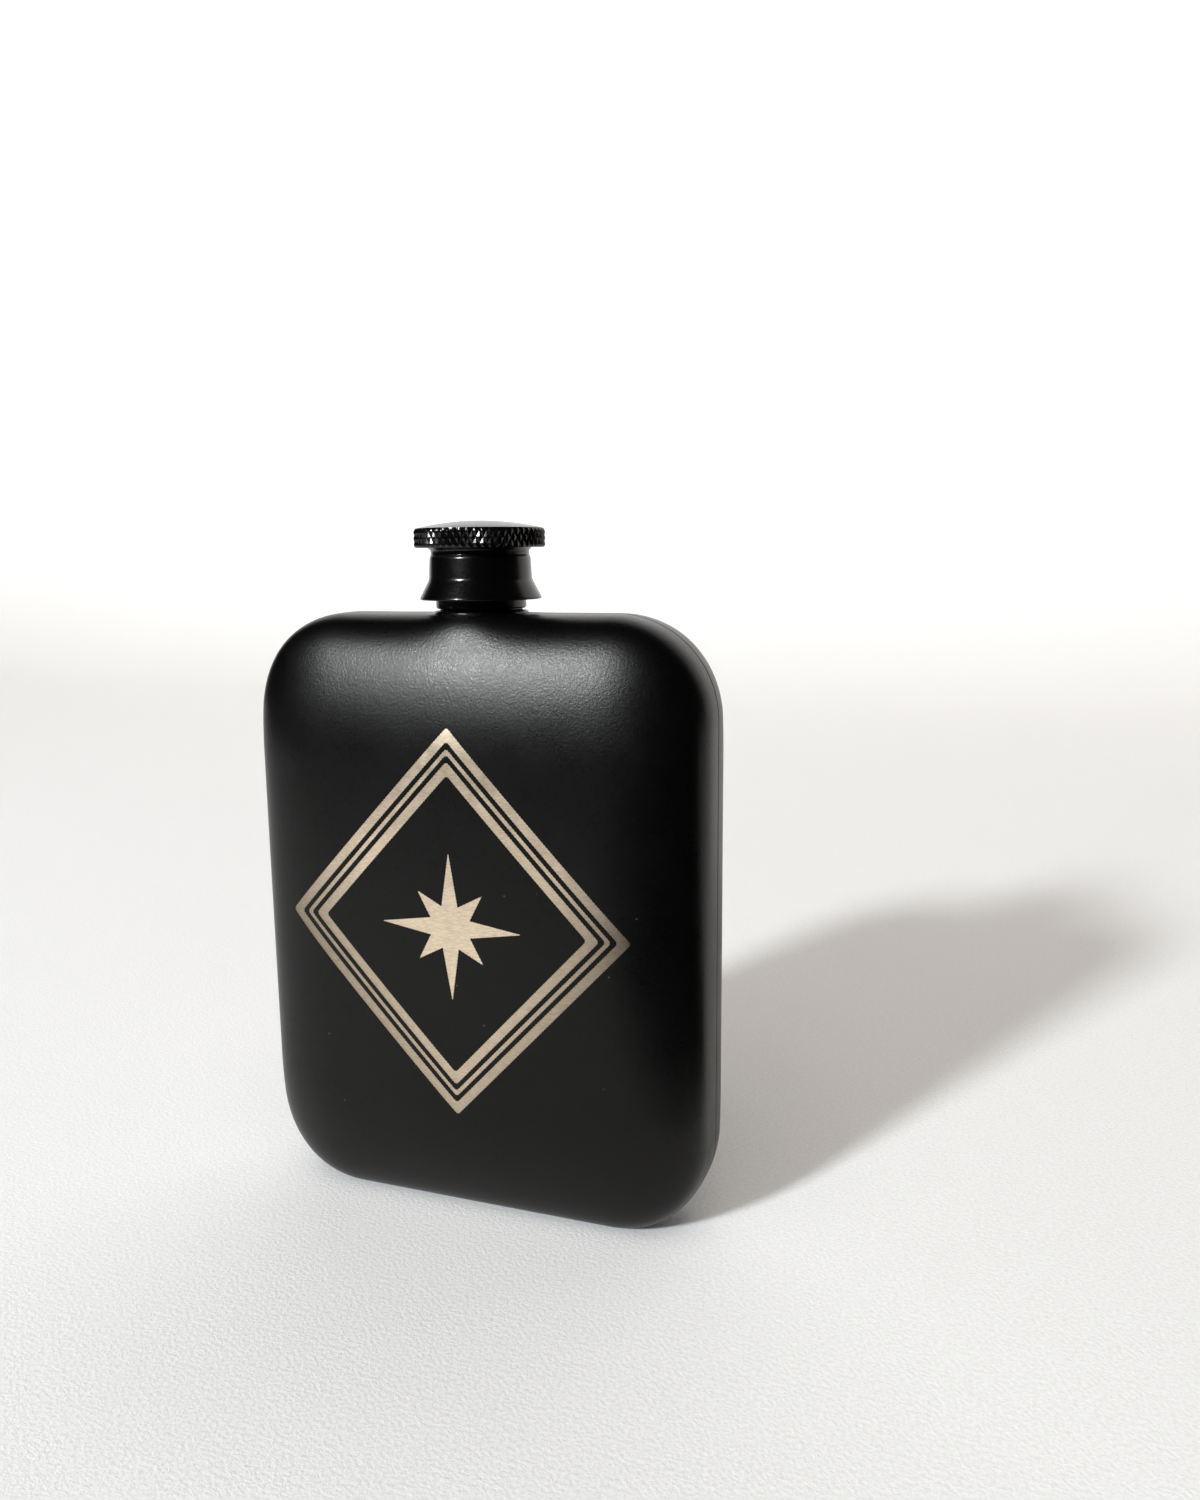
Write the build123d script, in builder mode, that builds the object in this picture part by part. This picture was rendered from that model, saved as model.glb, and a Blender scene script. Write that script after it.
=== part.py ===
"""Hip flask: a pillow-shaped steel bottle with a threaded neck and a knurled screw cap.

Millimetres. +Z is up, +X runs across the flask, and the engraved front faces -Y.
The origin is on the ground under the neck, at the middle of the foot.
"""

from build123d import *
from math import cos, hypot, pi, sin
import os

# Bottle body: two drawn halves that meet at a welded seam in the XZ plane
BODY_WIDTH = 84.4
BODY_HEIGHT = 108.4
BODY_CENTRE_Z = 54.0
CORNER_RADIUS = 17.5
RIM_THICKNESS = 18.2  # thickness where the edge has rolled over into the faces
CROWN = 4.9  # extra bulge of each face at its middle
CROWN_STEPS = 8  # the crowned face is drawn through this many rows of points each side of centre
CROWN_TOLERANCE = 1e-4
EDGE_ROLL = 6.0  # radius of the rolled edge
WALL = 0.7
SEAM_WIDTH = 0.8
BODY_TOP = BODY_CENTRE_Z + BODY_HEIGHT / 2

# Engraving: a lozenge border of three bands round an eight-pointed star
ENGRAVING_DEPTH = 0.1
ENGRAVING_CENTRE = (-1.2, 55.4)
BORDER_HALF_WIDTH = 32.1
BORDER_HALF_HEIGHT = 34.4
BORDER_BANDS = ((0.0, 1.6), (2.4, 3.1), (3.9, 5.5))  # each band's distances in from the outermost edge
BORDER_TIP_RADIUS = 0.8
STAR_LONG_REACH = 13.2
STAR_SHORT_REACH = 8.6
STAR_WAIST = 4.0

# Neck: a turned tube with a collar, standing in a hole at the top of the body
NECK_BORE = 5.75
NECK_RADIUS = 7.0
NECK_FOOT = 106.2
NECK_TOP = 119.0
COLLAR_RADIUS = 7.77
COLLAR_BOTTOM = 109.25
COLLAR_TOP = 110.9
COLLAR_EDGE = 0.25
WELD_RADIUS = 8.15
WELD_TOP = 108.95

# Saddle: the shoulders are drawn up round the foot of the neck
SADDLE_TOP_RADIUS = 8.3
SADDLE_BOTTOM_RADIUS = 10.4
SADDLE_BOTTOM = 101.0

# Screw thread, right-handed
THREAD_PITCH = 1.5
RIDGE_ROOT_WIDTH = 0.8
RIDGE_CREST_WIDTH = 0.3
RIDGE_HEIGHT = 0.5
RIDGE_BURY = 0.1  # the ridge is rooted this far inside its wall
NECK_THREAD_START = 111.9
NECK_THREAD_TURNS = 4
CAP_THREAD_START = NECK_THREAD_START + THREAD_PITCH / 2
CAP_THREAD_TURNS = 3

# Cap: a turned shell with a domed top, a knurled rim, a waist and a flared skirt
CAP_BOTTOM = 110.55
MOUTH_RADIUS = 9.4
FLARE_RADIUS = 10.45
FLARE_EDGE_TOP = 111.05
FLARE_TOP = 114.0
WAIST_BOTTOM_RADIUS = 8.85
WAIST_TOP_RADIUS = 8.65
WAIST_TOP = 118.8
KNURL_BOTTOM = 119.3
KNURL_TOP = 122.55
KNURL_RADIUS = 11.25
KNURL_CHAMFER = 0.3
DOME_TOP = 123.85
CAP_BORE = 8.2
CEILING = 120.5

# Threaded insert, brazed into the cap
INSERT_BOTTOM = 111.3
INSERT_BORE = 7.75

# Sealing washer, between the neck's lip and the cap's ceiling
WASHER_RADIUS = 7.6
WASHER_BOTTOM = 119.02
WASHER_EDGE = 0.2


def outline_sketch(skin, mode=Mode.ADD):
    """The body's outline set in by skin, for use inside a sketch."""
    with Locations((0, BODY_CENTRE_Z)):
        RectangleRounded(
            BODY_WIDTH - 2 * skin, BODY_HEIGHT - 2 * skin, CORNER_RADIUS - skin, mode=mode
        )


def crown_depth(x, z, skin):
    """Distance from the seam plane to the crowned face; x and z are from the body's middle."""
    bulge = (1 - (2 * x / BODY_WIDTH) ** 2) * (1 - (2 * z / BODY_HEIGHT) ** 2)
    return RIM_THICKNESS / 2 + CROWN * bulge - skin


def space_in_front(skin):
    """A block whose back is the crowned face, set in by skin."""
    steps = [step / CROWN_STEPS - 1 for step in range(2 * CROWN_STEPS + 1)]
    points = [
        [
            Vector(x * BODY_WIDTH / 2, -crown_depth(x * BODY_WIDTH / 2, z * BODY_HEIGHT / 2, skin),
                   BODY_CENTRE_Z + z * BODY_HEIGHT / 2)
            for z in steps
        ]
        for x in steps
    ]
    crowned_face = Face.make_surface_from_array_of_points(points, tol=CROWN_TOLERANCE)
    return extrude(crowned_face, amount=RIM_THICKNESS, dir=(0, -1, 0), mode=Mode.PRIVATE)


def half_pillow(skin):
    """The front half of the body as a solid, set in by skin, with its saddle."""
    front = space_in_front(skin)
    with BuildPart() as half:
        with BuildSketch(Plane.XZ.offset(SEAM_WIDTH / 2)):
            outline_sketch(skin)
        extrude(amount=RIM_THICKNESS)
        add(front, mode=Mode.SUBTRACT)
        fillet(half.faces().sort_by(Axis.Y)[0].edges(), EDGE_ROLL - skin)
        with BuildSketch(Plane.XZ):
            with BuildLine():
                Polyline(
                    (0, SADDLE_BOTTOM),
                    (SADDLE_BOTTOM_RADIUS - skin, SADDLE_BOTTOM),
                    (SADDLE_TOP_RADIUS - skin, BODY_TOP - skin),
                    (0, BODY_TOP - skin),
                    close=True,
                )
            make_face()
        revolve(axis=Axis.Z)
        split(bisect_by=Plane.XZ.offset(SEAM_WIDTH / 2), keep=Keep.TOP)
    return half.part


def lozenge(inset):
    """One lozenge of the border, its sides set in by this much."""
    scale = 1 - inset * hypot(1 / BORDER_HALF_WIDTH, 1 / BORDER_HALF_HEIGHT)
    across = BORDER_HALF_WIDTH * scale
    up = BORDER_HALF_HEIGHT * scale
    with BuildSketch(mode=Mode.PRIVATE) as shape:
        with BuildLine():
            Polyline((across, 0), (0, up), (-across, 0), (0, -up), close=True)
        make_face()
        fillet(shape.vertices(), BORDER_TIP_RADIUS)
    return shape.sketch


def star():
    """An eight-pointed star: four long points, four short ones, and a waist between."""
    reaches = (STAR_LONG_REACH, STAR_WAIST, STAR_SHORT_REACH, STAR_WAIST) * 4
    points = [
        (reach_out * cos(step * pi / 8), reach_out * sin(step * pi / 8))
        for step, reach_out in enumerate(reaches)
    ]
    with BuildSketch(mode=Mode.PRIVATE) as shape:
        with BuildLine():
            Polyline(*points, close=True)
        make_face()
    return shape.sketch


def thread_ridge(wall_radius, direction, start, turns):
    """A helical ridge on a wall; direction is 1 for an outside thread and -1 for an inside one."""
    height = turns * THREAD_PITCH
    with BuildPart(mode=Mode.PRIVATE) as ridge:
        with BuildLine(Plane.XY.offset(start)) as path:
            Helix(pitch=THREAD_PITCH, height=height, radius=wall_radius)
        with BuildSketch(Plane(origin=path.line @ 0, x_dir=(direction, 0, 0), z_dir=path.line % 0)):
            with BuildLine():
                Polyline(
                    (-RIDGE_BURY, -RIDGE_ROOT_WIDTH / 2),
                    (RIDGE_HEIGHT, -RIDGE_CREST_WIDTH / 2),
                    (RIDGE_HEIGHT, RIDGE_CREST_WIDTH / 2),
                    (-RIDGE_BURY, RIDGE_ROOT_WIDTH / 2),
                    close=True,
                )
            make_face()
        sweep(path=path.line, is_frenet=True)
    return ridge.part


outer_half = half_pillow(0)
inner_half = half_pillow(WALL)

# Pattern prism: everything in front of the engraved floor, inside the pattern
with BuildPart() as engraving:
    with BuildSketch(Plane.XZ.offset(RIM_THICKNESS / 2)):
        with Locations(ENGRAVING_CENTRE):
            for near, far in BORDER_BANDS:
                add(lozenge(near))
                add(lozenge(far), mode=Mode.SUBTRACT)
            add(star())
    extrude(amount=RIM_THICKNESS)
    add(space_in_front(ENGRAVING_DEPTH), mode=Mode.INTERSECT)

# Front shell: a drawn dish, pressed flat under the foot, holed for the neck and engraved
with BuildPart() as front_shell:
    add(outer_half)
    add(inner_half, mode=Mode.SUBTRACT)
    split(bisect_by=Plane.XY, keep=Keep.TOP)
    with BuildSketch(Plane.XY.offset(SADDLE_BOTTOM)):
        Circle(NECK_RADIUS)
    extrude(amount=NECK_TOP - SADDLE_BOTTOM, mode=Mode.SUBTRACT)

# Rear shell: the same dish, facing the other way and left plain
with BuildPart() as rear_shell:
    mirror(front_shell.part, about=Plane.XZ)

with front_shell:
    add(engraving.part, mode=Mode.SUBTRACT)

# Seam weld: the ring of weld metal between the two shells, ground flush
with BuildPart() as seam_weld:
    with BuildSketch(Plane.XZ):
        outline_sketch(0)
        outline_sketch(WALL, mode=Mode.SUBTRACT)
    extrude(amount=SEAM_WIDTH / 2, both=True)
    split(bisect_by=Plane.XY, keep=Keep.TOP)
    with BuildSketch(Plane.XY.offset(SADDLE_BOTTOM)):
        Circle(NECK_RADIUS)
    extrude(amount=NECK_TOP - SADDLE_BOTTOM, mode=Mode.SUBTRACT)

# Neck fitting: tube, grooved collar and screw thread
with BuildPart() as neck_fitting:
    with BuildSketch(Plane.XZ):
        with BuildLine():
            Polyline(
                (NECK_BORE, NECK_FOOT),
                (NECK_RADIUS, NECK_FOOT),
                (NECK_RADIUS, COLLAR_BOTTOM - COLLAR_EDGE),
                (COLLAR_RADIUS - COLLAR_EDGE, COLLAR_BOTTOM - COLLAR_EDGE),
                (COLLAR_RADIUS, COLLAR_BOTTOM),
                (COLLAR_RADIUS, COLLAR_TOP - COLLAR_EDGE),
                (COLLAR_RADIUS - COLLAR_EDGE, COLLAR_TOP),
                (NECK_RADIUS, COLLAR_TOP),
                (NECK_RADIUS, NECK_TOP - COLLAR_EDGE),
                (NECK_RADIUS - COLLAR_EDGE, NECK_TOP),
                (NECK_BORE + COLLAR_EDGE, NECK_TOP),
                (NECK_BORE, NECK_TOP - COLLAR_EDGE),
                close=True,
            )
        make_face()
    revolve(axis=Axis.Z)
    add(thread_ridge(NECK_RADIUS, 1, NECK_THREAD_START, NECK_THREAD_TURNS))

# Neck weld: the rounded bead that joins the neck to the shells
with BuildPart() as neck_weld:
    with BuildSketch(Plane.XZ):
        with BuildLine():
            Polyline(
                (WELD_RADIUS, BODY_TOP),
                (NECK_RADIUS, BODY_TOP),
                (NECK_RADIUS, WELD_TOP),
                (NECK_RADIUS + COLLAR_EDGE, WELD_TOP),
            )
            RadiusArc((NECK_RADIUS + COLLAR_EDGE, WELD_TOP), (WELD_RADIUS, BODY_TOP), 0.9)
        make_face()
    revolve(axis=Axis.Z)

# Cap shell: outside profile from the mouth up to the dome, inside bored for the insert
with BuildPart() as cap_shell:
    with BuildSketch(Plane.XZ):
        with BuildLine():
            Polyline(
                (0, CEILING),
                (CAP_BORE, CEILING),
                (CAP_BORE, INSERT_BOTTOM),
                (MOUTH_RADIUS, CAP_BOTTOM),
                (FLARE_RADIUS - COLLAR_EDGE, CAP_BOTTOM),
                (FLARE_RADIUS, CAP_BOTTOM + COLLAR_EDGE),
                (FLARE_RADIUS, FLARE_EDGE_TOP),
                (WAIST_BOTTOM_RADIUS, FLARE_TOP),
                (WAIST_TOP_RADIUS, WAIST_TOP),
            )
            SagittaArc(
                (WAIST_TOP_RADIUS, WAIST_TOP),
                (WAIST_TOP_RADIUS + KNURL_BOTTOM - WAIST_TOP, KNURL_BOTTOM),
                0.1,
            )
            Polyline(
                (WAIST_TOP_RADIUS + KNURL_BOTTOM - WAIST_TOP, KNURL_BOTTOM),
                (KNURL_RADIUS - KNURL_CHAMFER, KNURL_BOTTOM),
                (KNURL_RADIUS, KNURL_BOTTOM + KNURL_CHAMFER),
                (KNURL_RADIUS, KNURL_TOP - KNURL_CHAMFER),
                (KNURL_RADIUS - KNURL_CHAMFER, KNURL_TOP),
            )
            TangentArc((0, DOME_TOP), (KNURL_RADIUS - KNURL_CHAMFER, KNURL_TOP), tangent=(1, 0))
            Line((0, DOME_TOP), (0, CEILING))
        make_face()
    revolve(axis=Axis.Z)

# Cap insert: a thin tube with the thread inside
with BuildPart() as cap_insert:
    with BuildSketch(Plane.XY.offset(INSERT_BOTTOM)):
        Circle(CAP_BORE)
        Circle(INSERT_BORE, mode=Mode.SUBTRACT)
    extrude(amount=CEILING - INSERT_BOTTOM)
    add(thread_ridge(INSERT_BORE, -1, CAP_THREAD_START, CAP_THREAD_TURNS))

# Seal: a silicone disc that the neck's lip presses against the cap's ceiling
with BuildPart() as seal:
    with BuildSketch(Plane.XY.offset(WASHER_BOTTOM)):
        Circle(WASHER_RADIUS)
    extrude(amount=CEILING - WASHER_BOTTOM)
    fillet(seal.edges(), WASHER_EDGE)

pieces = {
    "front_shell": front_shell.part,
    "rear_shell": rear_shell.part,
    "seam_weld": seam_weld.part,
    "neck_fitting": neck_fitting.part,
    "neck_weld": neck_weld.part,
    "cap_shell": cap_shell.part,
    "cap_insert": cap_insert.part,
    "seal": seal.part,
}
os.makedirs("parts", exist_ok=True)
for name, piece in pieces.items():
    piece.label = name
    export_step(piece, f"parts/{name}.step")
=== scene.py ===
"""Looks for the hip flask: coated body with its engraving, knurled cap, materials, studio and camera."""

from math import atan2, ceil, cos, hypot, pi, radians, sin

import bpy
import numpy as np
from mathutils import Matrix, Vector
from mathutils.geometry import delaunay_2d_cdt


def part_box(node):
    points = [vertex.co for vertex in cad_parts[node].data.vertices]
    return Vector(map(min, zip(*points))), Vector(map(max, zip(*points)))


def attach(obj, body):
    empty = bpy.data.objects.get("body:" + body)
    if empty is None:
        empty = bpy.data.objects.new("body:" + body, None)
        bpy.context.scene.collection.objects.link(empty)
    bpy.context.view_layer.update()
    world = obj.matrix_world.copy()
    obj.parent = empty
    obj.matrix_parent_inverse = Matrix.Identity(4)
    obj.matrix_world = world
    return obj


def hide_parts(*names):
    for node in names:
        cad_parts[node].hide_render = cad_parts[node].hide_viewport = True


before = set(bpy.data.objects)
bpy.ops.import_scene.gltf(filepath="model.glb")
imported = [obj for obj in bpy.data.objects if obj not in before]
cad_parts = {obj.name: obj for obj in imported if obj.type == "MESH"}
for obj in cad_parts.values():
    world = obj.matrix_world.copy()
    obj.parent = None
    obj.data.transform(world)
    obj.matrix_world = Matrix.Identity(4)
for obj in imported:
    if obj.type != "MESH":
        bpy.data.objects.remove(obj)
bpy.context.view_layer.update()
MM = 0.001

# Body, in millimetres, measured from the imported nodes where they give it
FRONT_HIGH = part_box("front_shell")[1] / MM
WELD_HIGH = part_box("seam_weld")[1] / MM
BODY_TOP = FRONT_HIGH.z
BODY_HALF_WIDTH = FRONT_HIGH.x
FOOT_CUT = 0.2  # the outline is cut flat this far up, so that the flask stands
BODY_HALF_HEIGHT = (BODY_TOP + FOOT_CUT) / 2
BODY_MIDDLE = BODY_TOP - BODY_HALF_HEIGHT
CORNER_RADIUS = 17.5
RIM_DEPTH = 12.39  # from the seam plane to the face, before crown and pillow
CROWN = 1.59  # how much the middle of the face swells
EDGE_ROLL = 14.8  # width of the rolled edge
ROLL_POWER = 6.9  # how full the rolled edge is
PILLOW_DROP = 4.65  # how far the face falls away over its top and foot
PILLOW_REACH = 24.9
SIDE_DROP = 4.6  # how far the face falls away over its sides
SIDE_REACH = 20.0
WALL = 0.7
SEAM_HALF = WELD_HIGH.y
LEAST_DEPTH = SEAM_HALF + 0.05

# Spacing of the body's mesh, in millimetres where it is a length
CORNER_STEPS = 44
SIDE_STEP = 0.9
TOP_STEP = 0.8
NECK_STEP = 0.2  # under the neck, where the saddle is
NECK_ZONE = 12  # half the width of that finer part
ROOF_ROWS = 7  # from the seam to the first row of the rolled edge
ROLL_ROWS = 44
NECK_HOLE = 7.4
NECK_HOLE_DEPTH = 3

# Saddle round the foot of the neck
SADDLE_REACH = 7.35  # depth of its upper edge
SADDLE_SLOPE = 0.29
SADDLE_EDGE = 1.1  # how much further it comes forward over its rounded upper edge
SADDLE_EDGE_DROP = 1.2
SADDLE_SOFTNESS = 0.15
SADDLE_SPREAD = 7.5
SADDLE_FLARE = 0.12
SADDLE_POWER = 2.3
SADDLE_DROP = 15.0

# Engraving
ENGRAVING_CENTRE = (-0.95, 55.55)
BORDER_HALF_WIDTH = 32.0
BORDER_HALF_HEIGHT = 34.37
BORDER_BANDS = ((0.0, 1.6), (2.4, 3.1), (3.9, 5.5))
STAR_REACHES = (13.2, 4.0, 8.6, 4.0)
ENGRAVING_DEPTH = 0.05
FACE_INSET = 8.0  # inside this inset the face is one triangulated field that holds the engraving
FACE_STEP = 1.5
FACE_ROW_STEP = FACE_STEP * 0.87
TIP_BLUNT = 0.35
NIBBLE_PITCH = 0.62
NIBBLE_TOOTH = 0.035


# ---------------------------------------------------------------- mesh helpers

def new_object(name, verts, faces, materials, face_materials=None):
    """A mesh object from points in millimetres."""
    used = np.unique(np.concatenate([np.asarray(face, int) for face in faces]))
    place = np.full(len(verts), -1)
    place[used] = np.arange(len(used))
    mesh = bpy.data.meshes.new(name)
    points = (np.asarray(verts, float)[used] * MM).tolist()
    mesh.from_pydata(points, [], [place[list(face)].tolist() for face in faces])
    for material in materials:
        mesh.materials.append(material)
    if face_materials is not None:
        mesh.polygons.foreach_set("material_index", np.asarray(face_materials, np.int32))
    mesh.polygons.foreach_set("use_smooth", np.full(len(mesh.polygons), True))
    mesh.update()
    piece = bpy.data.objects.new(name, mesh)
    bpy.context.scene.collection.objects.link(piece)
    return piece


def rows_to_faces(row_count, count):
    """Quads between closed rows that have count points each."""
    faces = []
    for row in range(row_count - 1):
        a = row * count + np.arange(count)
        b = row * count + (np.arange(count) + 1) % count
        faces += np.stack([a, b, b + count, a + count], -1).tolist()
    return faces


# ---------------------------------------------------------------- body surface

def edge_inset(x, z):
    """How far inside the body's outline a point is, z measured from the body's middle."""
    past_x = np.abs(x) - BODY_HALF_WIDTH + CORNER_RADIUS
    past_z = np.abs(z) - BODY_HALF_HEIGHT + CORNER_RADIUS
    outside = np.hypot(np.maximum(past_x, 0), np.maximum(past_z, 0))
    return CORNER_RADIUS - outside - np.minimum(np.maximum(past_x, past_z), 0)


def face_depth(x, z):
    """Distance from the seam plane to the body's face."""
    to_go = np.clip(1 - edge_inset(x, z) / EDGE_ROLL, 0, 1)
    rolled = (1 - to_go**ROLL_POWER) ** (1 / ROLL_POWER)
    bulge = (1 - (x / BODY_HALF_WIDTH) ** 2) * (1 - (z / BODY_HALF_HEIGHT) ** 2)
    side = np.maximum(np.abs(x) - BODY_HALF_WIDTH + SIDE_REACH, 0) / SIDE_REACH
    end = np.maximum(np.abs(z) - BODY_HALF_HEIGHT + PILLOW_REACH, 0) / PILLOW_REACH
    pillow = PILLOW_DROP * end**2 + SIDE_DROP * side**3
    body = np.maximum(RIM_DEPTH * rolled + CROWN * np.maximum(bulge, 0) - pillow, LEAST_DEPTH)
    below = np.maximum(BODY_HALF_HEIGHT - z, 0)
    saddle = SADDLE_REACH + SADDLE_SLOPE * below + SADDLE_EDGE * (1 - np.exp(-below / SADDLE_EDGE_DROP))
    gap = saddle - body
    lift = (gap + np.sqrt(gap**2 + SADDLE_SOFTNESS**2)) / 2
    settle = np.clip(1 - (below / SADDLE_DROP) ** 2, 0, 1) ** 2
    across = np.abs(x) / (SADDLE_SPREAD + SADDLE_FLARE * below)
    return body + lift * np.exp(-(across**SADDLE_POWER)) * settle


def surface_normal(x, z):
    """Unit outward normal of the front face, by small differences of its depth, smaller near the rim."""
    step = np.clip(edge_inset(x, z) / 4, 1e-5, 0.02)
    slope_x = (face_depth(x + step, z) - face_depth(x - step, z)) / (2 * step)
    slope_z = (face_depth(x, z + step) - face_depth(x, z - step)) / (2 * step)
    normal = np.stack([-slope_x, -np.ones_like(slope_x), -slope_z], -1)
    return normal / np.linalg.norm(normal, axis=-1, keepdims=True)


def outline_frame():
    """Points of the inner rectangle that the corners turn about, and outward normals, all round."""
    across = BODY_HALF_WIDTH - CORNER_RADIUS
    up = BODY_HALF_HEIGHT - CORNER_RADIUS
    cores, normals = [], []

    def straight(start, end, normal, stops):
        for stop in stops:
            cores.append((start[0] + (end[0] - start[0]) * stop, start[1] + (end[1] - start[1]) * stop))
            normals.append(normal)

    def corner(core, first_angle):
        for step in range(CORNER_STEPS):
            angle = radians(first_angle + 90 * step / CORNER_STEPS)
            cores.append(core)
            normals.append((cos(angle), sin(angle)))

    def plain(length):
        return np.arange(0, 1, 1 / ceil(length / SIDE_STEP))

    fine = np.concatenate([
        np.arange(-across, -NECK_ZONE, TOP_STEP),
        np.arange(-NECK_ZONE, NECK_ZONE, NECK_STEP),
        np.arange(NECK_ZONE, across, TOP_STEP),
    ])
    corner((across, up), 0)
    straight((across, up), (-across, up), (0, 1), (across + fine) / (2 * across))
    corner((-across, up), 90)
    straight((-across, up), (-across, -up), (-1, 0), plain(2 * up))
    corner((-across, -up), 180)
    straight((-across, -up), (across, -up), (0, -1), plain(2 * across))
    corner((across, -up), 270)
    straight((across, -up), (across, up), (1, 0), plain(2 * up))
    return np.array(cores), np.array(normals)


def lozenge_points(inset):
    """One lozenge of the border, its sides set in by this much and its edges nibbled by the laser."""
    scale = 1 - inset * hypot(1 / BORDER_HALF_WIDTH, 1 / BORDER_HALF_HEIGHT)
    across = BORDER_HALF_WIDTH * scale
    up = BORDER_HALF_HEIGHT * scale
    blunt = TIP_BLUNT / hypot(across, up)
    tips = []
    for x, z in ((1, 0), (0, 1), (-1, 0), (0, -1)):
        tips.append((across * (x * (1 - blunt) + z * blunt), up * (z * (1 - blunt) - x * blunt)))
        tips.append((across * (x * (1 - blunt) - z * blunt), up * (z * (1 - blunt) + x * blunt)))
    return nibbled(tips)


def star_points():
    """The star, whose reaches repeat every quarter turn."""
    reaches = STAR_REACHES * 4
    tips = [(r * cos(i * pi / 8), r * sin(i * pi / 8)) for i, r in enumerate(reaches)]
    return nibbled(tips)


def nibbled(tips):
    """A closed outline through the tips with small teeth along its edges, as a raster laser leaves."""
    points = []
    for start, end in zip(tips, tips[1:] + tips[:1]):
        length = hypot(end[0] - start[0], end[1] - start[1])
        count = max(2, round(length / NIBBLE_PITCH) * 2)
        side = (-(end[1] - start[1]) / length, (end[0] - start[0]) / length)
        for step in range(count):
            along = step / count
            off = 0 if step == 0 else NIBBLE_TOOTH * (1 if step % 2 else -1)
            points.append((
                start[0] + (end[0] - start[0]) * along + side[0] * off + ENGRAVING_CENTRE[0],
                start[1] + (end[1] - start[1]) * along + side[1] * off + ENGRAVING_CENTRE[1] - BODY_MIDDLE,
            ))
    return points


def ring_rows():
    """Insets of the rows from the seam to the edge of the triangulated face."""
    last = np.arccos((1 - FACE_INSET / EDGE_ROLL) ** (ROLL_POWER / 2))
    turns = np.linspace(0, last, ROLL_ROWS)[1:]
    return EDGE_ROLL * (1 - np.cos(turns) ** (2 / ROLL_POWER))


def ring_mesh(cores, normals):
    """Plan, depth and quads from the seam's edge over the rolled edge, row by row inwards."""
    rows = ring_rows()
    first = cores + (CORNER_RADIUS - rows[0]) * normals
    first_depth = face_depth(first[:, 0], first[:, 1])
    plan, depth = [], []
    for row in range(ROOF_ROWS):
        share = row / ROOF_ROWS
        plan.append(cores + (CORNER_RADIUS - rows[0] * share) * normals)
        depth.append(SEAM_HALF + (first_depth - SEAM_HALF) * share)
    for inset in rows:
        points = cores + (CORNER_RADIUS - inset) * normals
        plan.append(points)
        depth.append(face_depth(points[:, 0], points[:, 1]))
    return np.concatenate(plan), np.concatenate(depth), rows_to_faces(len(plan), len(cores))


def face_field(loop_points, engraved):
    """The face inside the loop as triangles, with the engraving's outlines among their edges."""
    count = len(loop_points)
    points = [Vector(p) for p in loop_points]
    constraints = [(i, (i + 1) % count) for i in range(count)]
    polygons = []
    if engraved:
        outlines = [lozenge_points(d) for band in BORDER_BANDS for d in band] + [star_points()]
        for outline in outlines:
            base = len(points)
            points += [Vector(p) for p in outline]
            polygons.append(list(range(base, base + len(outline))))
    half_x = BODY_HALF_WIDTH - FACE_INSET - FACE_STEP / 2
    half_z = BODY_HALF_HEIGHT - FACE_INSET - FACE_STEP / 2
    for j, z in enumerate(np.arange(-half_z, half_z, FACE_ROW_STEP)):
        for x in np.arange(-half_x + (j % 2) * FACE_STEP / 2, half_x, FACE_STEP):
            past = hypot(max(abs(x) - BODY_HALF_WIDTH + CORNER_RADIUS, 0),
                         max(abs(z) - BODY_HALF_HEIGHT + CORNER_RADIUS, 0))
            if past < CORNER_RADIUS - FACE_INSET - FACE_STEP / 2:
                points.append(Vector((x, z)))
    flat, _, triangles, origins, _, inside = delaunay_2d_cdt(points, constraints, polygons, 0, 1e-6)

    star = len(polygons) - 1
    bared = []
    for sources in inside:
        in_band = any(2 * k in sources and 2 * k + 1 not in sources for k in range(len(BORDER_BANDS)))
        bared.append(engraved and (in_band or star in sources))
    return np.array([tuple(p) for p in flat]), triangles, origins, bared


def half_surface(cores, normals, engraved):
    """Plan, depth and faces of one half's outside, and for each face whether the laser has bared it."""
    count = len(cores)
    ring_plan, ring_depth, faces = ring_mesh(cores, normals)
    edge_loop = np.arange(len(ring_plan) - count, len(ring_plan))
    flat, triangles, origins, bared = face_field(ring_plan[edge_loop], engraved)
    index = np.empty(len(flat), int)
    extra_plan = []
    for i, origin in enumerate(origins):
        on_loop = [o for o in origin if o < count]
        if on_loop:
            index[i] = edge_loop[on_loop[0]]
        else:
            index[i] = len(ring_plan) + len(extra_plan)
            extra_plan.append(flat[i])
    extra_plan = np.array(extra_plan)
    plan = np.concatenate([ring_plan, extra_plan])
    depth = np.concatenate([ring_depth, face_depth(extra_plan[:, 0], extra_plan[:, 1])])
    lit = [False] * len(faces) + bared
    faces += [[int(index[v]) for v in triangle] for triangle in triangles]
    return plan, depth, faces, lit


def outside_neck_hole(face, outer):
    centre = outer[face].mean(0)
    return hypot(centre[0], centre[1]) >= NECK_HOLE or centre[2] <= BODY_HALF_HEIGHT - NECK_HOLE_DEPTH


def flat_normal(p, q, r):
    n = np.cross(q - p, r - p)
    return n / max(np.linalg.norm(n), 1e-12)


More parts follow.
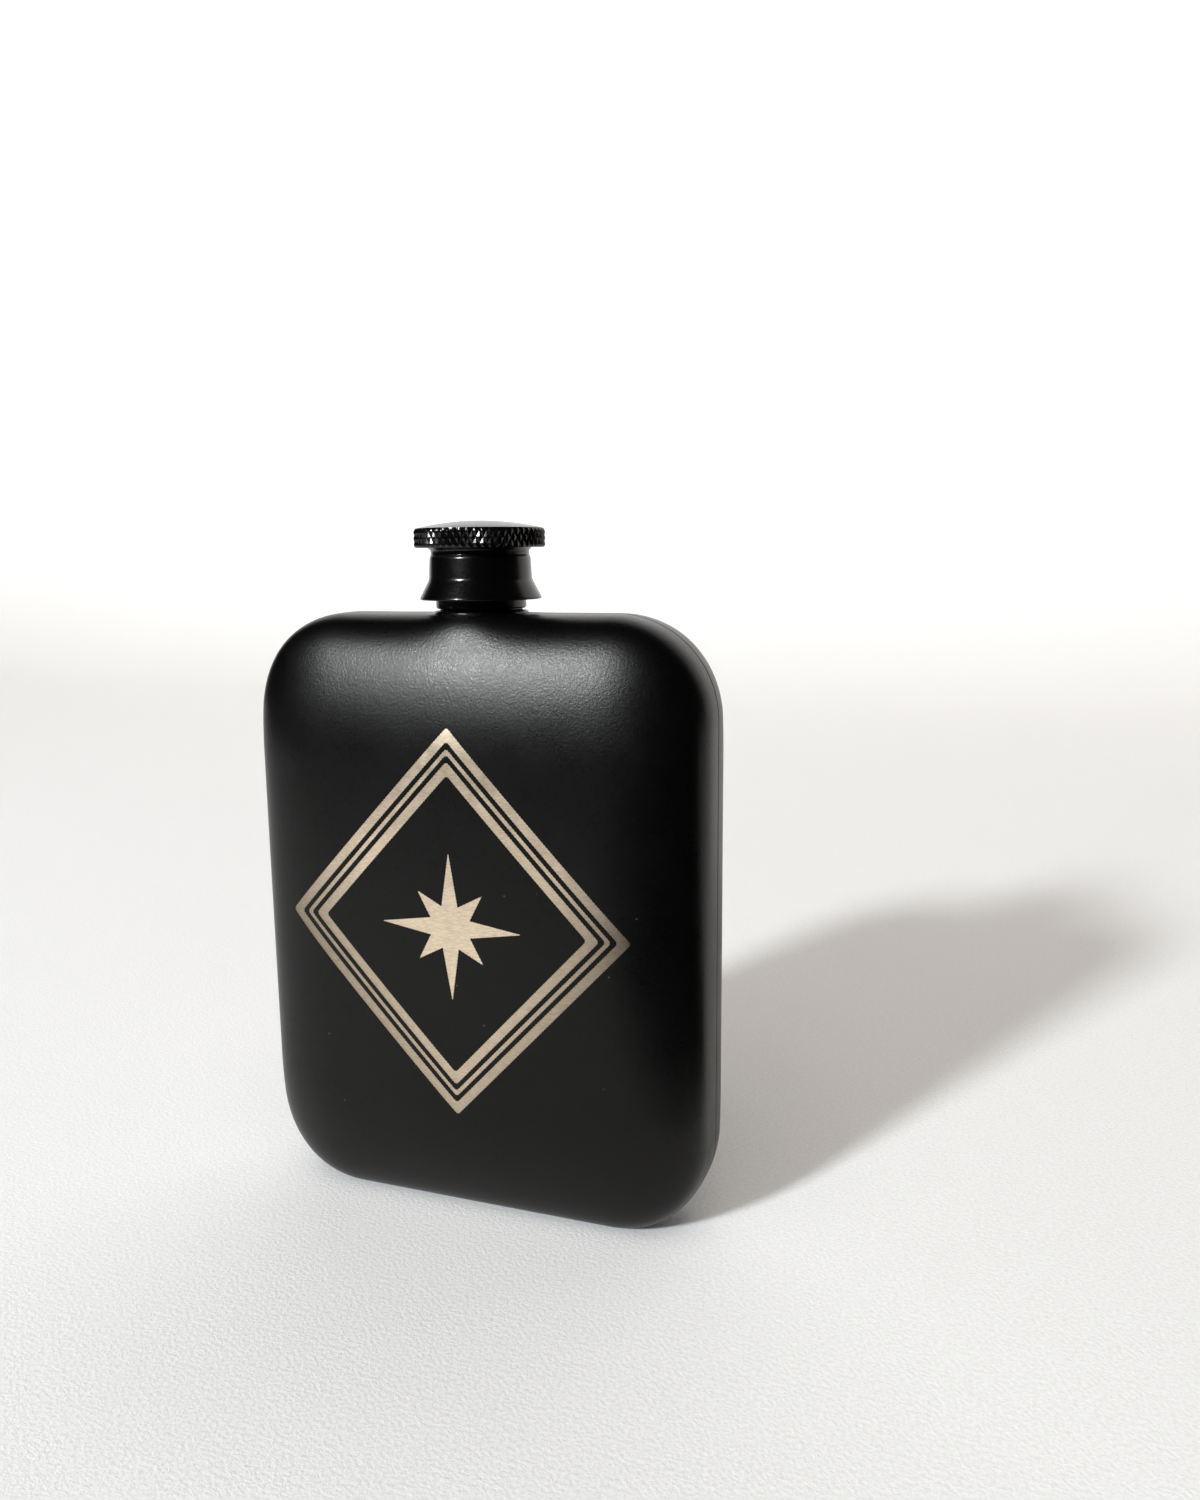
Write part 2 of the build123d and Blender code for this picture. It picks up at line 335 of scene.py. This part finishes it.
def body_half(name, engraved, facing, coat, steel):
    """One half of the body as a closed shell: rolled edge, face, engraving, inside skin and seam edge."""
    coated, bared, inside = range(3)
    cores, normals = outline_frame()
    count = len(cores)
    plan, depth, faces, lit = half_surface(cores, normals, engraved)
    outer = np.stack([plan[:, 0], -depth, plan[:, 1]], -1)
    normal = surface_normal(plan[:, 0], plan[:, 1])
    wall_normal = np.stack([normals[:, 0], np.zeros(count), normals[:, 1]], -1)
    for row in range(ROOF_ROWS + 1):
        normal[row * count:(row + 1) * count] = wall_normal
    inner = outer - WALL * normal
    inner[:count, 1] = outer[:count, 1]

    keep = [outside_neck_hole(face, outer) for face in faces]
    lit = [flag for flag, kept in zip(lit, keep) if kept]
    faces = [face for face, kept in zip(faces, keep) if kept]

    total = len(outer)
    all_faces, all_normals, face_materials = [], [], []
    floor_index = {}
    floor_verts = []

    def floor_of(v):
        if v not in floor_index:
            floor_index[v] = 2 * total + len(floor_verts)
            floor_verts.append(outer[v] - ENGRAVING_DEPTH * normal[v])
        return floor_index[v]

    for face, flag in zip(faces, lit):
        all_faces.append([floor_of(v) for v in face] if flag else face)
        all_normals.append([normal[v] for v in face])
        face_materials.append(bared if flag else coated)
    for face in faces:
        all_faces.append([v + total for v in reversed(face)])
        all_normals.append([-normal[v] for v in reversed(face)])
        face_materials.append(inside)

    # Edges with one face close the shell, and edges between bare and coated get the engraving's wall
    edge_face = {}
    for face, flag in zip(faces, lit):
        for a, b in zip(face, face[1:] + face[:1]):
            edge_face[(a, b)] = flag
    for (a, b), flag in edge_face.items():
        back = edge_face.get((b, a))
        if back is None:
            all_faces.append([b, a, a + total, b + total])
            all_normals.append([flat_normal(outer[b], outer[a], inner[a])] * 4)
            face_materials.append(inside)
        elif flag and not back:
            all_faces.append([a, b, floor_of(b), floor_of(a)])
            all_normals.append([flat_normal(outer[a], outer[b], outer[b] - normal[b])] * 4)
            face_materials.append(coated)

    verts = np.concatenate([outer, inner, np.reshape(floor_verts, (-1, 3))])
    verts[:, 2] += BODY_MIDDLE
    verts[:, 2] = np.maximum(verts[:, 2], 0)
    if facing > 0:
        verts[:, 1] *= -1
        all_faces = [f[::-1] for f in all_faces]
        all_normals = [[n * np.array([1, -1, 1]) for n in reversed(ns)] for ns in all_normals]
    piece = new_object(name, verts, all_faces, [coat, *steel], face_materials)
    piece.data.normals_split_custom_set([tuple(n) for ns in all_normals for n in ns])
    return piece


# ---------------------------------------------------------------- cap

def circle_points(radius, height, angles):
    """One row about the flask's axis; radius is a number, or one value for each angle."""
    return np.stack([radius * np.cos(angles), radius * np.sin(angles), np.full(len(angles), height)], -1)


def revolve_points(profile, angles):
    """Rows of points for a profile of (radius, height) turned about the flask's axis."""
    return [circle_points(radius, height, angles) for radius, height in profile]


def arc_points(start, end, centre, steps):
    """Points on an arc from start to end about centre, both ends left out."""
    a0 = atan2(start[1] - centre[1], start[0] - centre[0])
    a1 = atan2(end[1] - centre[1], end[0] - centre[0])
    turn = (a1 - a0 + pi) % (2 * pi) - pi
    radius = hypot(start[0] - centre[0], start[1] - centre[1])
    return [
        (centre[0] + radius * cos(a0 + turn * s / steps), centre[1] + radius * sin(a0 + turn * s / steps))
        for s in range(1, steps)
    ]


def rounded_profile(points, radii, steps=6):
    """A profile through points with each inner corner rounded by its radius."""
    out = [points[0]]
    for before, here, after, radius in zip(points, points[1:], points[2:], radii):
        if radius <= 0:
            out.append(here)
            continue
        b = np.array(before, float) - here
        a = np.array(after, float) - here
        lb, la = np.linalg.norm(b), np.linalg.norm(a)
        b, a = b / lb, a / la
        half = np.arccos(np.clip(b @ a, -1, 1)) / 2
        reach = min(radius / np.tan(half), 0.49 * lb, 0.49 * la)
        radius = reach * np.tan(half)
        start = here + b * reach
        end = here + a * reach
        centre = here + (a + b) / np.linalg.norm(a + b) * radius / sin(half)
        out.append(tuple(start))
        out += arc_points(start, end, centre, steps)
        out.append(tuple(end))
    out.append(points[-1])
    return out


KNURL_COUNT = 58
KNURL_RISE = 2.07  # height of one diamond
KNURL_DEPTH = 0.26
KNURL_STEPS = 8  # mesh columns in one diamond
KNURL_PHASE = 0.31  # where in a diamond the lowest row starts
CAP_LOW, CAP_HIGH = (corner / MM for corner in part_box("cap_shell"))
CAP_BOTTOM, DOME_TOP = CAP_LOW.z, CAP_HIGH.z
KNURL_RADIUS = CAP_HIGH.x
DOME_RISE = 1.3
KNURL_HEIGHT = 3.25
KNURL_TOP = DOME_TOP - DOME_RISE
KNURL_BOTTOM = KNURL_TOP - KNURL_HEIGHT
KNURL_CHAMFER = 0.32
RIM_EASE = 0.35  # from the chamfer's foot in to the dome's edge
CAP_BORE = 8.2
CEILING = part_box("seal")[1].z / MM
INSERT_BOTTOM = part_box("cap_insert")[0].z / MM


def tooth(value):
    """0 on a whole number, 1 half way between two."""
    return 1 - np.abs(2 * (value % 1) - 1)


def knurl_shift(row):
    """How many mesh columns the diamonds' flanks have moved along by this row."""
    return round((row / KNURL_STEPS + KNURL_PHASE) * KNURL_STEPS)


def cap_piece(material):
    """The cap as one closed shell: flared skirt, waist, knurled rim, dome and bore."""
    count = KNURL_COUNT * KNURL_STEPS
    angles = np.arange(count) / count * 2 * pi
    turns = np.arange(count) / KNURL_STEPS
    rim = KNURL_RADIUS - KNURL_CHAMFER
    skirt = [
        (CAP_BORE, INSERT_BOTTOM), (9.4, CAP_BOTTOM), (10.42, CAP_BOTTOM),
        (KNURL_RADIUS - 0.8, CAP_BOTTOM + 0.3),
    ]
    waist = [(8.85, 114.0), (8.68, 117.62), (8.45, 118.1), (8.45, 118.85)]
    under_rim = [(8.95, KNURL_BOTTOM), (rim - RIM_EASE, KNURL_BOTTOM)]
    outside_low = rounded_profile(skirt + waist + under_rim, [0.1, 0.2, 0.6, 1.6, 0.9, 0.2, 0.35, 0.25])
    dome_drop = DOME_TOP - KNURL_TOP
    dome_radius = (rim**2 + dome_drop**2) / (2 * dome_drop)
    dome = []
    for share in np.linspace(1, 0.03, 26):
        r = (rim - RIM_EASE) * share
        dome.append((r, DOME_TOP - dome_radius + (dome_radius**2 - r**2) ** 0.5))

    rows = revolve_points(outside_low, angles)
    step = KNURL_RISE / KNURL_STEPS
    heights = [KNURL_BOTTOM + step * k for k in range(int((KNURL_TOP - KNURL_BOTTOM) / step) + 1)]
    heights[-1] = KNURL_TOP
    knurl_first = len(rows)
    for k, height in enumerate(heights):
        v = knurl_shift(k) / KNURL_STEPS
        raised = np.minimum(tooth(turns + v), tooth(turns - v))
        radius = KNURL_RADIUS - KNURL_DEPTH * (1 - raised)
        edge = min(height - KNURL_BOTTOM, KNURL_TOP - height)
        radius = np.minimum(radius, rim + edge)
        rows.append(circle_points(radius, height, angles))
    knurl_last = len(rows) - 1
    rows += revolve_points(dome, angles)
    inside = [(0.3, CEILING), (CAP_BORE, CEILING), (CAP_BORE, INSERT_BOTTOM)]
    verts = np.concatenate(rows)
    faces = rows_to_faces(len(rows), count)
    top = len(verts)
    last_row = (len(rows) - 1) * count
    verts = np.concatenate([verts, [[0, 0, DOME_TOP]]])
    faces += [[last_row + i, last_row + (i + 1) % count, top] for i in range(count)]
    base = len(verts)
    inner = revolve_points(inside, angles)
    verts = np.concatenate([verts, *inner, [[0, 0, CEILING]]])
    ceiling_centre = len(verts) - 1
    faces += [[base + (i + 1) % count, base + i, ceiling_centre] for i in range(count)]
    faces += [[base + v for v in f] for f in rows_to_faces(len(inner), count)]

    # Knurl quads are split along the groove that crosses them
    split_faces, flat = [], []
    for f in faces:
        row = min(f) // count
        if len(f) == 4 and max(f) < top and knurl_first <= row < knurl_last:
            if (f[0] % count - knurl_shift(row - knurl_first)) % KNURL_STEPS == 0:
                split_faces += [[f[0], f[1], f[2]], [f[0], f[2], f[3]]]
            else:
                split_faces += [[f[0], f[1], f[3]], [f[1], f[2], f[3]]]
            flat += [True, True]
        else:
            split_faces.append(f)
            flat.append(False)
    piece = new_object("knurled_cap", verts, split_faces, [material])
    piece.data.polygons.foreach_set("use_smooth", ~np.array(flat))
    piece.data.set_sharp_from_angle(angle=radians(38))
    return piece


# ---------------------------------------------------------------- seam

SEAM_GAP = 7.2  # half the seam's gap under the neck


def seam_piece(material):
    """The ground weld between the halves, dished very slightly so that it catches a line of light."""
    cores, normals = outline_frame()
    count = len(cores)
    profile = [(WALL, SEAM_HALF), (0.0, SEAM_HALF), (0.02, SEAM_HALF * 0.8), (0.07, SEAM_HALF * 0.35),
               (0.07, -SEAM_HALF * 0.35), (0.02, -SEAM_HALF * 0.8), (0.0, -SEAM_HALF), (WALL, -SEAM_HALF)]
    rows = []
    for inset, y in profile:
        plan = cores + (CORNER_RADIUS - inset) * normals
        rows.append(np.stack([plan[:, 0], np.full(count, y), plan[:, 1] + BODY_MIDDLE], -1))
    verts = np.concatenate(rows)
    verts[:, 2] = np.maximum(verts[:, 2], 0)
    row_total = len(profile)
    middle = (cores + np.roll(cores, -1, axis=0)) / 2
    kept = ~((np.abs(middle[:, 0]) < SEAM_GAP) & (middle[:, 1] > 0) & (normals[:, 1] == 1))
    columns = np.flatnonzero(kept)
    faces = []
    for row in range(row_total):
        a = row * count + columns
        b = row * count + (columns + 1) % count
        up = ((row + 1) % row_total - row) * count
        faces += np.stack([a, b, b + up, a + up], -1).tolist()
    all_rows = np.arange(row_total) * count
    end = columns[~kept[(columns + 1) % count]][0] + 1
    start = columns[~kept[columns - 1]][0]
    faces += [(all_rows + end)[::-1].tolist(), (all_rows + start).tolist()]
    piece = new_object("seam_bead", verts, faces, [material])
    piece.data.set_sharp_from_angle(angle=radians(50))
    return piece


def bead_piece(material):
    """The painted weld bead round the neck's foot, with a skirt that runs down into the shoulder."""
    count = 128
    angles = np.arange(count) / count * 2 * pi
    low, high = (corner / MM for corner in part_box("neck_weld"))
    reach = high.x
    bore = 6.9
    foot = low.z - 1.2
    turns = np.linspace(0.3, pi / 2, 5)
    skirt = [(reach - 0.05 + 0.05 * min(1, k / 2), foot + 1.3 * k / 4) for k in range(1, 4)]
    side = [(reach - 0.42 + 0.42 * cos(t), low.z + 0.12 + 0.30 * sin(t)) for t in turns]
    crest = [(reach - 0.42 - 0.70 * sin(t), high.z - 0.40 + 0.40 * (1 - cos(t))) for t in turns[:-1]]
    below = [(bore, foot), (reach - 0.05, foot)]
    profile = below + skirt + [(reach, low.z + 0.12)] + side + crest + [(bore, high.z)]
    rows = revolve_points(profile, angles)
    faces = rows_to_faces(len(rows), count)
    last = (len(rows) - 1) * count
    faces += [[last + i, last + (i + 1) % count, (i + 1) % count, i] for i in range(count)]
    piece = new_object("neck_bead", np.concatenate(rows), faces, [material])
    piece.data.set_sharp_from_angle(angle=radians(50))
    return piece


# ---------------------------------------------------------------- materials

LASER_PITCH = 0.0003  # in metres, as the materials measure


class Nodes:
    """A short way to write node trees."""

    def __init__(self, name):
        self.material = bpy.data.materials.new(name)
        self.material.use_nodes = True
        self.tree = self.material.node_tree
        self.shader = self.tree.nodes["Principled BSDF"]

    def add(self, kind, inputs=None, **settings):
        node = self.tree.nodes.new(kind)
        for key, value in settings.items():
            setattr(node, key, value)
        for key, value in (inputs or {}).items():
            if isinstance(value, bpy.types.NodeSocket):
                self.tree.links.new(value, node.inputs[key])
            else:
                node.inputs[key].default_value = value
        return node

    def set(self, **values):
        for key, value in values.items():
            socket = self.shader.inputs[key.replace("_", " ")]
            if isinstance(value, bpy.types.NodeSocket):
                self.tree.links.new(value, socket)
            else:
                socket.default_value = value

    def ramp(self, value, low, high, stops=(0.0, 1.0)):
        node = self.add("ShaderNodeValToRGB", {"Fac": value})
        node.color_ramp.elements[0].position = stops[0]
        node.color_ramp.elements[1].position = stops[1]
        node.color_ramp.elements[0].color = low
        node.color_ramp.elements[1].color = high
        return node.outputs["Color"]

    def range(self, value, low, high, start=0.0, end=1.0):
        node = self.add("ShaderNodeMapRange", {"Value": value, "From Min": start, "From Max": end,
                                               "To Min": low, "To Max": high})
        return node.outputs["Result"]

    def noise(self, scale, detail=2.0, roughness=0.5, vector=None):
        inputs = {"Scale": scale, "Detail": detail, "Roughness": roughness}
        if vector is not None:
            inputs["Vector"] = vector
        else:
            inputs["Vector"] = self.place()
        return self.add("ShaderNodeTexNoise", inputs).outputs["Fac"]

    def place(self):
        return self.add("ShaderNodeTexCoord").outputs["Object"]

    def bump(self, height, strength, distance, normal=None):
        inputs = {"Height": height, "Strength": strength, "Distance": distance}
        if normal is not None:
            inputs["Normal"] = normal
        return self.add("ShaderNodeBump", inputs).outputs["Normal"]


def coat_material(name, tone, roughness, shine, grain_scale, grain_depth):
    """A baked powder coat: near black, with orange-peel grain, faint clouds and a few pale specks."""
    n = Nodes(name)
    cloud = n.noise(120, 3, 0.6)
    fine = n.noise(grain_scale, 3, 0.65)
    coarse = n.noise(grain_scale * 0.62, 2, 0.5)
    specks = n.add("ShaderNodeTexVoronoi", {"Vector": n.place(), "Scale": 150.0}).outputs["Distance"]
    pale = n.range(specks, 1.0, 0.0, 0.018, 0.026)
    base = n.ramp(cloud, (tone * 0.6, tone * 0.6, tone * 0.62, 1), (tone * 1.5, tone * 1.5, tone * 1.55, 1))
    speck_colour = (0.06, 0.058, 0.054, 1)
    spotted = n.add("ShaderNodeMix", {"Factor": pale, "A": base, "B": speck_colour}, data_type="RGBA")
    rough = n.add("ShaderNodeMath", {0: n.range(fine, -0.05, 0.05, 0.3, 0.7),
                                     1: n.range(cloud, roughness - 0.02, roughness + 0.02, 0.3, 0.7)})
    small = n.bump(fine, 0.5, grain_depth)
    n.set(Base_Color=spotted.outputs["Result"], Roughness=rough.outputs[0],
          Normal=n.bump(coarse, 0.5, grain_depth * 1.4, small))
    n.shader.inputs["Specular IOR Level"].default_value = shine
    n.shader.inputs["Specular Tint"].default_value = (1, 0.975, 0.94, 1)
    return n.material


def engraved_material(name):
    """Steel bared by a raster laser: upright lines, finer level streaks and a straw tint, with painted shade
    that darkens it away from its top middle, towards its sides and foot.
    """
    n = Nodes(name)
    place = n.place()
    split = n.add("ShaderNodeSeparateXYZ", {"Vector": place})
    raster = n.add("ShaderNodeMath", {0: split.outputs["X"], 1: 2 * pi / LASER_PITCH}, operation="MULTIPLY")
    lines = n.add("ShaderNodeMath", {0: raster.outputs[0]}, operation="SINE").outputs[0]
    stretched = n.add("ShaderNodeMapping", {"Vector": place, "Scale": (0.2, 1, 1.0)}).outputs["Vector"]
    streaks = n.noise(5200, 3, 0.6, stretched)
    blotch = n.noise(420, 3, 0.6)
    height = n.add("ShaderNodeMath", {0: lines, 1: 0.5, 2: streaks}, operation="MULTIPLY_ADD").outputs[0]
    tint = n.ramp(blotch, (0.77, 0.625, 0.455, 1), (0.83, 0.69, 0.52, 1), (0.25, 0.75))
    weave = n.range(streaks, 0.80, 1.12, 0.3, 0.7)
    # Painted shade: the colour darkens away from the engraving's top middle, towards its sides and foot,
    # where less of the key light's reflection falls
    outward = n.add("ShaderNodeMath", {0: split.outputs["X"]}, operation="ABSOLUTE").outputs[0]
    away = n.add("ShaderNodeMath", {0: split.outputs["Z"], 1: -0.6, 2: outward}, operation="MULTIPLY_ADD")
    painted_shade_falloff = n.range(away.outputs[0], 1.05, 0.36, -0.024, 0.0)
    shade = n.add("ShaderNodeMath", {0: weave, 1: painted_shade_falloff}, operation="MULTIPLY").outputs[0]
    color = n.add("ShaderNodeVectorMath", {0: tint, "Scale": shade}, operation="SCALE").outputs["Vector"]
    n.set(Base_Color=color, Roughness=n.range(blotch, 0.30, 0.36, 0.3, 0.7), Metallic=1.0,
          Normal=n.bump(height, 0.3, 0.00002))
    return n.material


def steel_material(name, tone, roughness):
    """Plain steel with faint blotches, as it is left inside."""
    n = Nodes(name)
    streaks = n.noise(900, 2, 0.5)
    n.set(Base_Color=n.ramp(streaks, (tone[0] * 0.85, tone[1] * 0.85, tone[2] * 0.85, 1), (*tone, 1)),
          Roughness=n.range(streaks, roughness - 0.05, roughness + 0.08, 0.3, 0.7), Metallic=1.0,
          Normal=n.bump(streaks, 0.2, 0.00002))
    return n.material


def silicone_material(name):
    """Pale, slightly uneven silicone rubber."""
    n = Nodes(name)
    cloud = n.noise(300, 2, 0.5)
    n.set(Base_Color=n.ramp(cloud, (0.55, 0.55, 0.53, 1), (0.68, 0.68, 0.66, 1)),
          Roughness=n.range(cloud, 0.4, 0.55, 0.3, 0.7), Normal=n.bump(cloud, 0.2, 0.00002))
    return n.material


body_coat = coat_material("body_powder_coat", 0.0012, 0.315, 0.22, 3600, 0.000036)
cap_coat = coat_material("cap_coat", 0.0010, 0.22, 0.42, 3000, 0.000003)
neck_coat = coat_material("neck_coat", 0.0010, 0.24, 0.42, 3000, 0.000003)
engraved = engraved_material("laser_bared_steel")
inside_steel = steel_material("inside_steel", (0.62, 0.60, 0.57), 0.35)
silicone = silicone_material("silicone")

front = body_half("front_body", True, -1, body_coat, (engraved, inside_steel))
rear = body_half("rear_body", False, 1, body_coat, (engraved, inside_steel))
seam = seam_piece(body_coat)
cap = cap_piece(cap_coat)
bead = bead_piece(neck_coat)

for piece, node, body, slot in (
    (front, "front_shell", "flask", "body_coat"),
    (rear, "rear_shell", "flask", "body_coat"),
    (seam, "seam_weld", "flask", "body_coat"),
    (bead, "neck_weld", "flask", "neck_coat"),
    (cap, "cap_shell", "cap", "cap_coat"),
):
    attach(piece, body)
    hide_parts(node)

for node, material in (("neck_fitting", neck_coat), ("cap_insert", inside_steel), ("seal", silicone)):
    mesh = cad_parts[node].data
    mesh.materials.clear()
    mesh.materials.append(material)

# ---------------------------------------------------------------- studio

CAMERA_PLACE = Vector((86.34, -183.88, 118.08)) * MM
CAMERA_PITCH, CAMERA_ROLL, CAMERA_YAW = 0.168, -0.010, 0.339
LENS = 27.804
SENSOR = 36

FLOOR_SPLIT = 60  # in front of this line the floor is in two parts
MIRRORED_FLOOR = ((-700, FLOOR_SPLIT), (-600, -330), (-70, -330), (38, -90), (90, -22), (90, FLOOR_SPLIT))


def add_camera():
    forward = Vector((
        -sin(CAMERA_YAW) * cos(CAMERA_PITCH), cos(CAMERA_YAW) * cos(CAMERA_PITCH), -sin(CAMERA_PITCH),
    ))
    level = Vector((cos(CAMERA_YAW), sin(CAMERA_YAW), 0))
    lifted = level.cross(forward)
    right = level * cos(CAMERA_ROLL) + lifted * sin(CAMERA_ROLL)
    up = lifted * cos(CAMERA_ROLL) - level * sin(CAMERA_ROLL)
    data = bpy.data.cameras.new("camera")
    data.sensor_width = SENSOR
    data.lens = LENS
    data.clip_start = 0.01
    camera = bpy.data.objects.new("camera", data)
    turn = Matrix((right, up, -forward)).transposed()
    camera.matrix_world = Matrix.Translation(CAMERA_PLACE) @ turn.to_4x4()
    bpy.context.scene.collection.objects.link(camera)
    bpy.context.scene.camera = camera


def add_area(name, place, target, size, power, color):
    data = bpy.data.lights.new(name, "AREA")
    data.shape = "DISK"
    data.size = size
    data.energy = power
    data.color = color
    light = bpy.data.objects.new(name, data)
    direction = Vector(target) - Vector(place)
    light.matrix_world = Matrix.Translation(place) @ direction.to_track_quat("-Z", "Y").to_matrix().to_4x4()
    bpy.context.scene.collection.objects.link(light)
    return light


def add_sweep():
    """A paper sweep: floor that curves up into a backdrop that glows with painted light, and a near patch
    that the flask mirrors.
    """
    n = Nodes("paper")
    grain = n.noise(1500, 3, 0.6)
    split = n.add("ShaderNodeSeparateXYZ", {"Vector": n.place()})
    # Painted light: the paper glows, from almost nothing on the near floor to more up the backdrop, and so
    # lights the floor and the flask's shadow as a fill
    climb = n.add("ShaderNodeMath", {0: split.outputs["Y"], 1: 0.22, 2: split.outputs["Z"]},
                  operation="MULTIPLY_ADD")
    glow = n.range(climb.outputs[0], 0.02, 0.44, 0.0, 0.40)
    n.set(Base_Color=n.ramp(grain, (0.79, 0.79, 0.79, 1), (0.91, 0.91, 0.91, 1), (0.25, 0.75)), Roughness=0.9,
          Normal=n.bump(grain, 0.5, 0.0003), Emission_Color=(1, 0.93, 0.86, 1), Emission_Strength=glow)
    n.shader.inputs["Specular IOR Level"].default_value = 0.2

    bend_start, bend_radius, height, half_width, front_edge = 700, 500, 2600, 1750, -2600
    profile = [(FLOOR_SPLIT, 0), (bend_start, 0)]
    steps = 24
    for k in range(1, steps + 1):
        angle = pi / 2 * k / steps
        profile.append((bend_start + bend_radius * sin(angle), bend_radius * (1 - cos(angle))))
    profile.append((bend_start + bend_radius, height))
    verts = []
    for y, z in profile:
        verts += [(-half_width, y, z), (half_width, y, z)]
    faces = [(2 * k, 2 * k + 1, 2 * k + 3, 2 * k + 2) for k in range(len(profile) - 1)]
    new_object("sweep", verts, faces, [n.material])

    corners = [(x, y, 0) for x, y in MIRRORED_FLOOR]
    new_object("near_floor", corners, [range(len(corners))], [n.material])
    rim = [(-half_width, FLOOR_SPLIT, 0), (-half_width, front_edge, 0),
           (half_width, front_edge, 0), (half_width, FLOOR_SPLIT, 0)]
    far = new_object("far_floor", corners + rim,
                     [(0, 6, 7, 1), (1, 7, 8, 2), (2, 8, 3), (3, 8, 4), (4, 8, 9), (4, 9, 5)], [n.material])
    far.visible_glossy = False


def add_room():
    """A pale wall all round, seen by the camera only, so that the flask can be viewed from any side."""
    n = Nodes("pale_wall")
    cloud = n.noise(1.5, 2, 0.5)
    n.set(Base_Color=(0, 0, 0, 1), Roughness=1.0, Emission_Color=(1, 0.98, 0.96, 1),
          Emission_Strength=n.range(cloud, 0.80, 0.86, 0.3, 0.7))
    n.shader.inputs["Specular IOR Level"].default_value = 0.0
    steps, radius, turn_line, back, height = 48, 1740, 400, 1200, 2600
    plan = [(-radius, back)]
    for k in range(steps + 1):
        angle = pi + pi * k / steps
        plan.append((radius * cos(angle), turn_line + radius * sin(angle)))
    plan.append((radius, back))
    count = len(plan)
    verts = [(x, y, 0) for x, y in plan] + [(x, y, height) for x, y in plan]
    faces = [(k, k + 1, k + 1 + count, k + count) for k in range(count - 1)]
    wall = new_object("pale_wall", verts, faces, [n.material])
    wall.visible_diffuse = wall.visible_glossy = wall.visible_transmission = wall.visible_shadow = False


def add_world():
    """Soft warm light that grows towards the back of the room."""
    world = bpy.data.worlds.new("studio")
    bpy.context.scene.world = world
    world.use_nodes = True
    tree = world.node_tree
    background = tree.nodes["Background"]
    background.inputs["Color"].default_value = (1, 0.88, 0.76, 1)
    toward = tree.nodes.new("ShaderNodeSeparateXYZ")
    place = tree.nodes.new("ShaderNodeTexCoord")
    fade = tree.nodes.new("ShaderNodeMapRange")
    fade.interpolation_type = "SMOOTHSTEP"
    tree.links.new(place.outputs["Generated"], toward.inputs["Vector"])
    tree.links.new(toward.outputs["Y"], fade.inputs["Value"])
    for name, value in (("From Min", 0.35), ("From Max", 0.95), ("To Min", 0.005), ("To Max", 0.80)):
        fade.inputs[name].default_value = value
    tree.links.new(fade.outputs["Result"], background.inputs["Strength"])


add_camera()
add_sweep()
add_room()
add_world()
add_area("key", (-0.87, -1.85, 1.054), (0, 0, 0.06), 0.28, 62.0, (0.92, 0.965, 1.0))
fill = add_area("fill", (0.1, -0.7, 1.6), (0, 0, 0), 1.4, 10.5, (1, 0.91, 0.81))
fill.visible_glossy = False
bpy.context.scene.view_settings.view_transform = "Standard"
